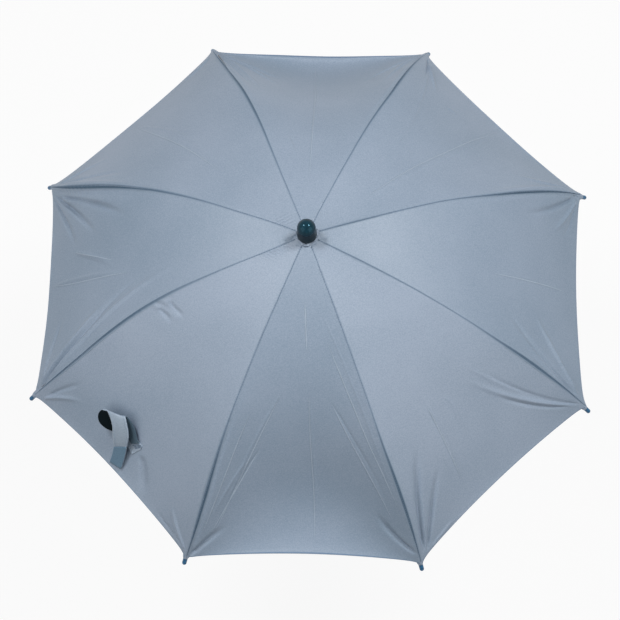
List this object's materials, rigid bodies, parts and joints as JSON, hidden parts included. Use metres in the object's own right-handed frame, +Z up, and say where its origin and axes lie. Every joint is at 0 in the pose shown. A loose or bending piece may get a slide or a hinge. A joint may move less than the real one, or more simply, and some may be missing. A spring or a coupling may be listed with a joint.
{
  "type": "pram parasol",
  "caption": "Folding parasol with a domed cloth canopy on curved ribs, a sliding runner, a tilting shaft and a screw clamp for a pram tube.",
  "frame": {"origin": "centre of the clamped pram tube, on the shaft's axis", "axes": "+Z up along the shaft to the ferrule, +Y along the clamped tube, +X out of the clamp's mouth"},
  "size_m": [0.6488, 0.6488, 0.7784],
  "materials": {
    "canopy_cloth": "plain-woven polyester, slight sheen",
    "strap_cloth": "doubled polyester with a hook-and-loop end",
    "tip_plastic": "moulded, smooth",
    "ferrule_plastic": "moulded, high gloss",
    "hub_plastic": "moulded, satin",
    "rib_steel": "enamelled steel channel",
    "shaft_metal": "anodised tube",
    "screw_steel": "zinc plated",
    "joint_plastic": "moulded, fine texture",
    "button_plastic": "moulded, satin",
    "pad_rubber": "moulded"
  },
  "bodies": {
    "clamp": {"clamp_body": "joint_plastic", "clamp_pad": "pad_rubber", "clamp_nut": "screw_steel"},
    "clamp_jaw": {"pressure_jaw": "joint_plastic", "jaw_pad": "pad_rubber"},
    "clamp_screw": {"clamp_screw": "screw_steel", "clamp_knob": "joint_plastic"},
    "stem_screw": {"stem_screw": "joint_plastic"},
    "stem": {"stem_tube": "shaft_metal", "tilt_base": "joint_plastic", "tilt_pin": "screw_steel", "tilt_button_spring": "screw_steel"},
    "tilt_button": {"tilt_button": "button_plastic"},
    "shaft": {"shaft_tube": "shaft_metal", "tilt_head": "joint_plastic", "crown": "hub_plastic", "crown_wire": "screw_steel", "canopy_washer": "canopy_cloth", "ferrule": "ferrule_plastic"},
    "top_catch": {"top_catch": "screw_steel"},
    "runner": {"runner": "hub_plastic"},
    "rib_1": {"rib_1": "rib_steel", "tip_cap_1": "tip_plastic", "canopy_panel_1": "canopy_cloth"},
    "stretcher_1": {"stretcher_1": "rib_steel"},
    "rib_2": {"rib_2": "rib_steel", "tip_cap_2": "tip_plastic", "canopy_panel_2": "canopy_cloth"},
    "stretcher_2": {"stretcher_2": "rib_steel"},
    "rib_3": {"rib_3": "rib_steel", "tip_cap_3": "tip_plastic", "canopy_panel_3": "canopy_cloth"},
    "stretcher_3": {"stretcher_3": "rib_steel"},
    "rib_4": {"rib_4": "rib_steel", "tip_cap_4": "tip_plastic", "canopy_panel_4": "canopy_cloth"},
    "stretcher_4": {"stretcher_4": "rib_steel"},
    "rib_5": {"rib_5": "rib_steel", "tip_cap_5": "tip_plastic", "canopy_panel_5": "canopy_cloth"},
    "stretcher_5": {"stretcher_5": "rib_steel"},
    "rib_6": {"rib_6": "rib_steel", "tip_cap_6": "tip_plastic", "canopy_panel_6": "canopy_cloth", "closing_strap": "strap_cloth"},
    "stretcher_6": {"stretcher_6": "rib_steel"},
    "rib_7": {"rib_7": "rib_steel", "tip_cap_7": "tip_plastic", "canopy_panel_7": "canopy_cloth"},
    "stretcher_7": {"stretcher_7": "rib_steel"},
    "rib_8": {"rib_8": "rib_steel", "tip_cap_8": "tip_plastic", "canopy_panel_8": "canopy_cloth"},
    "stretcher_8": {"stretcher_8": "rib_steel"}
  },
  "joints": [
    {"name": "jaw_slide", "type": "slide", "parent": "clamp", "child": "clamp_jaw", "axis": [0, 0, 1], "range_m": [-0.009, 0.004]},
    {"name": "knob_turn", "type": "hinge", "parent": "clamp_jaw", "child": "clamp_screw", "pos_m": [0, 0, -0.06], "axis": [0, 0, 1], "range_deg": [-2595, 1155]},
    {"name": "stem_screw_turn", "type": "hinge", "parent": "clamp", "child": "stem_screw", "pos_m": [-0.02, 0, 0.044], "axis": [-1, 0, 0], "range_deg": [0, 360]},
    {"name": "stem_turn", "type": "hinge", "parent": "clamp", "child": "stem", "pos_m": [0, 0, 0.045], "axis": [0, 0, 1], "continuous": true},
    {"name": "button_press", "type": "slide", "parent": "stem", "child": "tilt_button", "axis": [-1, 0, 0], "range_m": [0, 0.0022], "stiffness_N_per_m": 400, "deforming": ["tilt_button_spring"]},
    {"name": "tilt", "type": "hinge", "parent": "stem", "child": "shaft", "pos_m": [0, 0, 0.215], "axis": [0, 1, 0], "range_deg": [-80, 80]},
    {"name": "catch_press", "type": "slide", "parent": "shaft", "child": "top_catch", "axis": [-1, 0, 0], "range_m": [0, 0.0024], "stiffness_N_per_m": 500},
    {"name": "runner_slide", "type": "slide", "parent": "shaft", "child": "runner", "axis": [0, 0, -1], "range_m": [0, 0.21982], "deforming": ["canopy_panel_1", "canopy_panel_2", "canopy_panel_3", "canopy_panel_4", "canopy_panel_5", "canopy_panel_6", "canopy_panel_7", "canopy_panel_8", "closing_strap", "top_catch"]},
    {"name": "rib_fold_1", "type": "hinge", "parent": "shaft", "child": "rib_1", "pos_m": [0.00831, 0.00344, 0.675], "axis": [-0.3827, 0.9239, 0], "range_deg": [0, 58.5]},
    {"name": "stretcher_fold_1", "type": "hinge", "parent": "rib_1", "child": "stretcher_1", "pos_m": [0.15207, 0.06299, 0.62735], "axis": [0.3827, -0.9239, 0], "range_deg": [0, 117]},
    {"name": "rib_fold_2", "type": "hinge", "parent": "shaft", "child": "rib_2", "pos_m": [0.00344, 0.00831, 0.675], "axis": [-0.9239, 0.3827, 0], "range_deg": [0, 58.5]},
    {"name": "stretcher_fold_2", "type": "hinge", "parent": "rib_2", "child": "stretcher_2", "pos_m": [0.06299, 0.15207, 0.62735], "axis": [0.9239, -0.3827, 0], "range_deg": [0, 117]},
    {"name": "rib_fold_3", "type": "hinge", "parent": "shaft", "child": "rib_3", "pos_m": [-0.00344, 0.00831, 0.675], "axis": [-0.9239, -0.3827, 0], "range_deg": [0, 58.5]},
    {"name": "stretcher_fold_3", "type": "hinge", "parent": "rib_3", "child": "stretcher_3", "pos_m": [-0.06299, 0.15207, 0.62735], "axis": [0.9239, 0.3827, 0], "range_deg": [0, 117]},
    {"name": "rib_fold_4", "type": "hinge", "parent": "shaft", "child": "rib_4", "pos_m": [-0.00831, 0.00344, 0.675], "axis": [-0.3827, -0.9239, 0], "range_deg": [0, 58.5]},
    {"name": "stretcher_fold_4", "type": "hinge", "parent": "rib_4", "child": "stretcher_4", "pos_m": [-0.15207, 0.06299, 0.62735], "axis": [0.3827, 0.9239, 0], "range_deg": [0, 117]},
    {"name": "rib_fold_5", "type": "hinge", "parent": "shaft", "child": "rib_5", "pos_m": [-0.00831, -0.00344, 0.675], "axis": [0.3827, -0.9239, 0], "range_deg": [0, 58.5]},
    {"name": "stretcher_fold_5", "type": "hinge", "parent": "rib_5", "child": "stretcher_5", "pos_m": [-0.15207, -0.06299, 0.62735], "axis": [-0.3827, 0.9239, 0], "range_deg": [0, 117]},
    {"name": "rib_fold_6", "type": "hinge", "parent": "shaft", "child": "rib_6", "pos_m": [-0.00344, -0.00831, 0.675], "axis": [0.9239, -0.3827, 0], "range_deg": [0, 58.5]},
    {"name": "stretcher_fold_6", "type": "hinge", "parent": "rib_6", "child": "stretcher_6", "pos_m": [-0.06299, -0.15207, 0.62735], "axis": [-0.9239, 0.3827, 0], "range_deg": [0, 117]},
    {"name": "rib_fold_7", "type": "hinge", "parent": "shaft", "child": "rib_7", "pos_m": [0.00344, -0.00831, 0.675], "axis": [0.9239, 0.3827, 0], "range_deg": [0, 58.5]},
    {"name": "stretcher_fold_7", "type": "hinge", "parent": "rib_7", "child": "stretcher_7", "pos_m": [0.06299, -0.15207, 0.62735], "axis": [-0.9239, -0.3827, 0], "range_deg": [0, 117]},
    {"name": "rib_fold_8", "type": "hinge", "parent": "shaft", "child": "rib_8", "pos_m": [0.00831, -0.00344, 0.675], "axis": [0.3827, 0.9239, 0], "range_deg": [0, 58.5]},
    {"name": "stretcher_fold_8", "type": "hinge", "parent": "rib_8", "child": "stretcher_8", "pos_m": [0.15207, -0.06299, 0.62735], "axis": [-0.3827, -0.9239, 0], "range_deg": [0, 117]}
  ],
  "couplings": [
    {"joint": "knob_turn", "follows": "jaw_slide", "rad_per_m": 5026.5},
    {"joint": "rib_fold_1", "follows": "runner_slide", "rad_per_m": 4.6447},
    {"joint": "stretcher_fold_1", "follows": "runner_slide", "rad_per_m": 9.2894},
    {"joint": "rib_fold_2", "follows": "runner_slide", "rad_per_m": 4.6447},
    {"joint": "stretcher_fold_2", "follows": "runner_slide", "rad_per_m": 9.2894},
    {"joint": "rib_fold_3", "follows": "runner_slide", "rad_per_m": 4.6447},
    {"joint": "stretcher_fold_3", "follows": "runner_slide", "rad_per_m": 9.2894},
    {"joint": "rib_fold_4", "follows": "runner_slide", "rad_per_m": 4.6447},
    {"joint": "stretcher_fold_4", "follows": "runner_slide", "rad_per_m": 9.2894},
    {"joint": "rib_fold_5", "follows": "runner_slide", "rad_per_m": 4.6447},
    {"joint": "stretcher_fold_5", "follows": "runner_slide", "rad_per_m": 9.2894},
    {"joint": "rib_fold_6", "follows": "runner_slide", "rad_per_m": 4.6447},
    {"joint": "stretcher_fold_6", "follows": "runner_slide", "rad_per_m": 9.2894},
    {"joint": "rib_fold_7", "follows": "runner_slide", "rad_per_m": 4.6447},
    {"joint": "stretcher_fold_7", "follows": "runner_slide", "rad_per_m": 9.2894},
    {"joint": "rib_fold_8", "follows": "runner_slide", "rad_per_m": 4.6447},
    {"joint": "stretcher_fold_8", "follows": "runner_slide", "rad_per_m": 9.2894}
  ]
}
